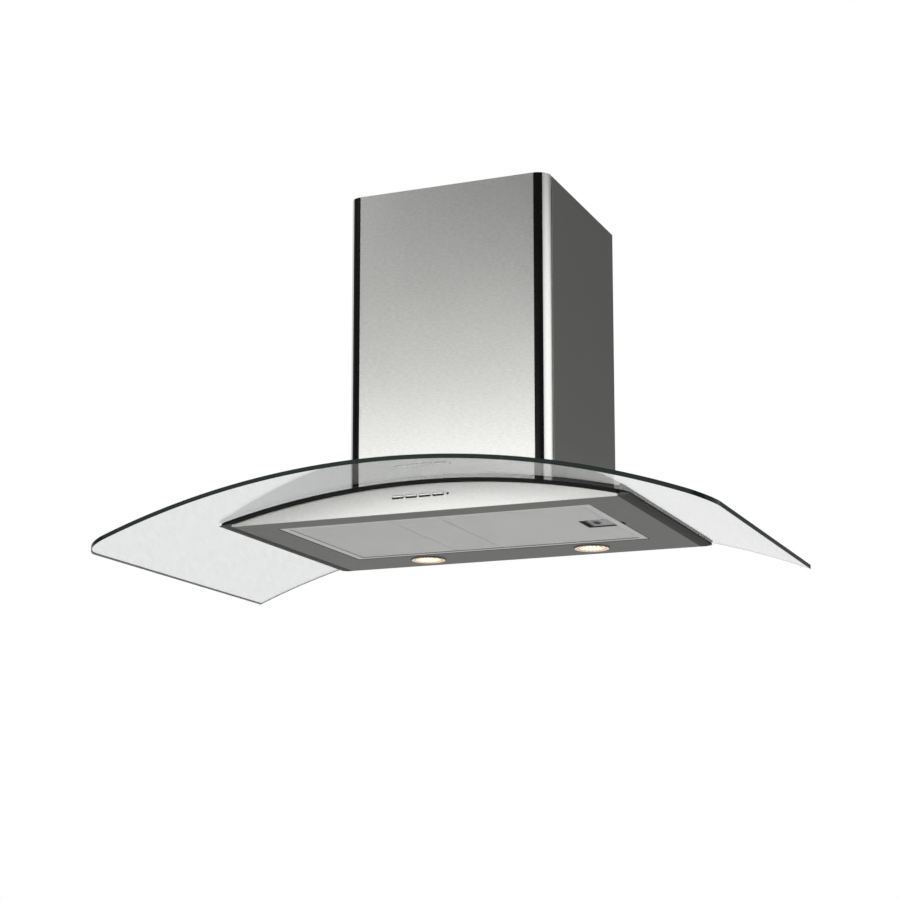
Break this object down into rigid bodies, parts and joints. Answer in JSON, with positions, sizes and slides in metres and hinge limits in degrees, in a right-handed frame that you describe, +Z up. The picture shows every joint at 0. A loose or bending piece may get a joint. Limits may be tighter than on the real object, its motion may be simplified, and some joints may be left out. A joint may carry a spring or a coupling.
{
  "type": "wall-mounted chimney range hood",
  "caption": "Chimney cooker hood with a bent glass canopy over a shallow lens-shaped steel hull, push buttons, spot lamps and a drop-down grease filter.",
  "frame": {"origin": "middle of the wall bracket's flat back face, on the wall plane", "axes": "+Z up, +Y into the wall, -Y towards the cook, +X to the right seen from the front"},
  "size_m": [0.9, 0.535, 0.5448],
  "materials": {
    "canopy_glass": "clear bent safety glass with polished green-black edges",
    "black_seal": "matt black seal",
    "hull_steel": "satin stainless steel, seen in shade",
    "brushed_steel": "fine horizontal brushing",
    "button_steel": "brushed button caps",
    "galvanised": "dull galvanised sheet",
    "filter_aluminium": "satin aluminium",
    "filter_mesh": "fine expanded mesh",
    "bright_metal": "polished",
    "lamp_glass": "frosted lamp glass, lit warm",
    "lamp_holder": "ceramic lamp holder",
    "loom_sheath": "white heat-resistant sheath",
    "black_trim": "black satin strip",
    "black_plastic": "fine textured black",
    "duct_plastic": "moulded black plastic",
    "pilot_lens": "clear red lens",
    "circuit_board": "green board",
    "transformer_core": "laminated core, varnished",
    "motor_housing": "cast and pressed metal, grey",
    "capacitor_case": "white moulded case"
  },
  "bodies": {
    "hood": {"glass_canopy": "canopy_glass", "glass_gasket": "black_seal", "top_deck": "hull_steel", "underside_pan": "hull_steel", "front_fascia": "brushed_steel", "rear_panel": "galvanised", "side_rail_left": "hull_steel", "side_rail_right": "hull_steel", "filter_tray": "hull_steel", "lamp_bezel_left": "bright_metal", "lamp_bezel_right": "bright_metal", "lamp_lens_left": "lamp_glass", "lamp_lens_right": "lamp_glass", "lamp_reflector_left": "bright_metal", "lamp_reflector_right": "bright_metal", "lamp_bulb_left": "lamp_glass", "lamp_bulb_right": "lamp_glass", "lamp_holder_left": "lamp_holder", "lamp_holder_right": "lamp_holder", "lamp_loom": "loom_sheath", "switch_housing": "black_plastic", "pilot_lens": "pilot_lens", "control_board": "circuit_board", "lamp_transformer": "transformer_core", "terminal_box": "black_plastic", "terminal_cover": "black_plastic", "cable_gland": "black_plastic", "motor_capacitor": "capacitor_case", "blower_casing": "galvanised", "blower_shell_left": "duct_plastic", "blower_shell_right": "duct_plastic", "motor_body": "motor_housing", "motor_bracket": "galvanised", "outlet_transition": "duct_plastic", "outlet_collar": "duct_plastic", "damper_pin": "bright_metal", "lower_chimney_front": "brushed_steel", "chimney_trim_left": "black_trim", "chimney_trim_right": "black_trim", "chimney_side_left": "brushed_steel", "chimney_side_right": "brushed_steel", "wall_bracket": "galvanised", "glass_clamp_frame": "galvanised", "glass_seat_seal": "black_seal", "stud_nut_frame": "galvanised"},
    "upper_cover": {"upper_chimney_cover": "brushed_steel", "upper_wall_bracket": "galvanised"},
    "filter": {"filter_frame": "filter_aluminium", "filter_mesh": "filter_mesh", "filter_pocket": "filter_aluminium", "filter_hinge_rod": "bright_metal"},
    "filter_latch": {"filter_latch": "filter_aluminium"},
    "impeller": {"impeller": "duct_plastic", "motor_shaft": "bright_metal"},
    "damper_flap_left": {"damper_flap_left": "duct_plastic"},
    "damper_flap_right": {"damper_flap_right": "duct_plastic"},
    "button_1": {"button_1": "button_steel"},
    "button_2": {"button_2": "button_steel"},
    "button_3": {"button_3": "button_steel"},
    "button_4": {"button_4": "button_steel"}
  },
  "joints": [
    {"name": "upper_cover_slide", "type": "slide", "parent": "hood", "child": "upper_cover", "axis": [0, 0, 1], "range_m": [0, 0.35]},
    {"name": "filter_hinge", "type": "hinge", "parent": "hood", "child": "filter", "pos_m": [-0.226, -0.2265, -0.22], "axis": [0, 1, 0], "range_deg": [0, 70]},
    {"name": "filter_latch_slide", "type": "slide", "parent": "filter", "child": "filter_latch", "axis": [-1, 0, 0], "range_m": [0, 0.006], "stiffness_N_per_m": 100, "springref_m": -0.002},
    {"name": "impeller_spin", "type": "hinge", "parent": "hood", "child": "impeller", "pos_m": [0, -0.128, -0.067], "axis": [1, 0, 0], "continuous": true},
    {"name": "damper_left_hinge", "type": "hinge", "parent": "hood", "child": "damper_flap_left", "pos_m": [0, -0.15, 0.094], "axis": [0, 1, 0], "range_deg": [0, 75]},
    {"name": "damper_right_hinge", "type": "hinge", "parent": "hood", "child": "damper_flap_right", "pos_m": [0, -0.15, 0.094], "axis": [0, -1, 0], "range_deg": [0, 75]},
    {"name": "button_1_press", "type": "slide", "parent": "hood", "child": "button_1", "axis": [0, 1, 0], "range_m": [0, 0.0025], "stiffness_N_per_m": 200, "springref_m": -0.002},
    {"name": "button_2_press", "type": "slide", "parent": "hood", "child": "button_2", "axis": [0, 1, 0], "range_m": [0, 0.0025], "stiffness_N_per_m": 200, "springref_m": -0.002},
    {"name": "button_3_press", "type": "slide", "parent": "hood", "child": "button_3", "axis": [0, 1, 0], "range_m": [0, 0.0025], "stiffness_N_per_m": 200, "springref_m": -0.002},
    {"name": "button_4_press", "type": "slide", "parent": "hood", "child": "button_4", "axis": [0, 1, 0], "range_m": [0, 0.0025], "stiffness_N_per_m": 200, "springref_m": -0.002}
  ]
}
